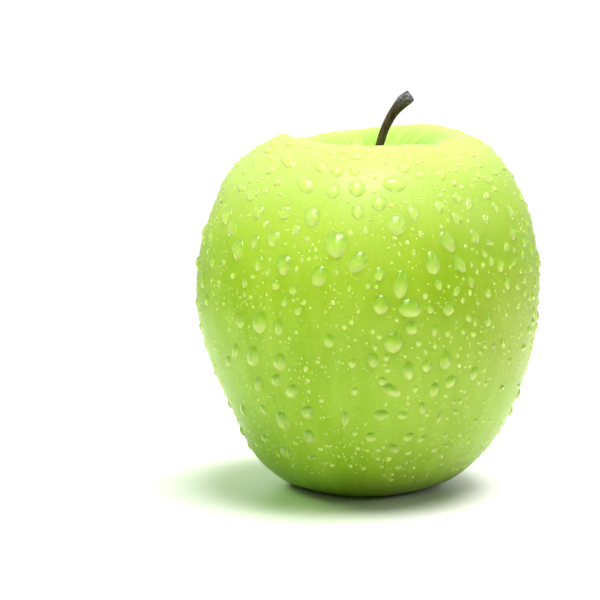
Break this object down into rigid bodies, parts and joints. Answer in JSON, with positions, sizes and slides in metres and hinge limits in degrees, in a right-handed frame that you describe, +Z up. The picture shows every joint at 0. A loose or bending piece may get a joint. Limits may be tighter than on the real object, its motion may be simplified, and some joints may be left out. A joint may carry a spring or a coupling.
{
  "type": "apple",
  "caption": "Whole green apple with a stem and a dried calyx, standing upright on its lobed base; skin wet with water drops.",
  "frame": {"origin": "centre of the footprint, on the surface that the apple stands on", "axes": "+Z up through the fruit, from the base to the stem; -Y is the side that the reference view faces; the stem's tip leans towards +X"},
  "size_m": [0.0792, 0.0792, 0.0919],
  "materials": {
    "skin": "satin",
    "bark": "matte",
    "dried_sepals": "matte"
  },
  "bodies": {
    "root": {"apple_body": "skin", "stem": "bark", "calyx": "dried_sepals"}
  },
  "joints": []
}
